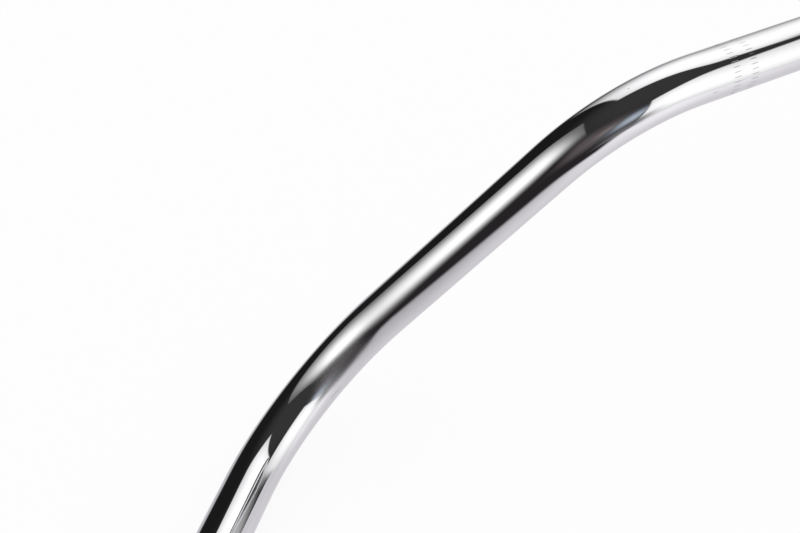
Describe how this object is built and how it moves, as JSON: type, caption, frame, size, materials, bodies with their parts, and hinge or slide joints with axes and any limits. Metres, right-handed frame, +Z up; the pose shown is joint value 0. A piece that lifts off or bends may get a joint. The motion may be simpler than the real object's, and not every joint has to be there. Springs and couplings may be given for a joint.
{
  "type": "handlebar",
  "caption": "Chromed steel handlebar bent from a single round tube, with knurled clamp bands, a leaning rise to each side and swept-back grip ends.",
  "frame": {"origin": "middle of the clamp straight, on the tube's axis", "axes": "+X along the clamp straight, +Z up with the bar lying on its two grips, and the grips swept back towards -Y"},
  "size_m": [0.8234, 0.167, 0.1748],
  "materials": {
    "chrome": "bright chrome plate on polished steel tube"
  },
  "bodies": {
    "root": {"handlebar_tube": "chrome"}
  },
  "joints": []
}
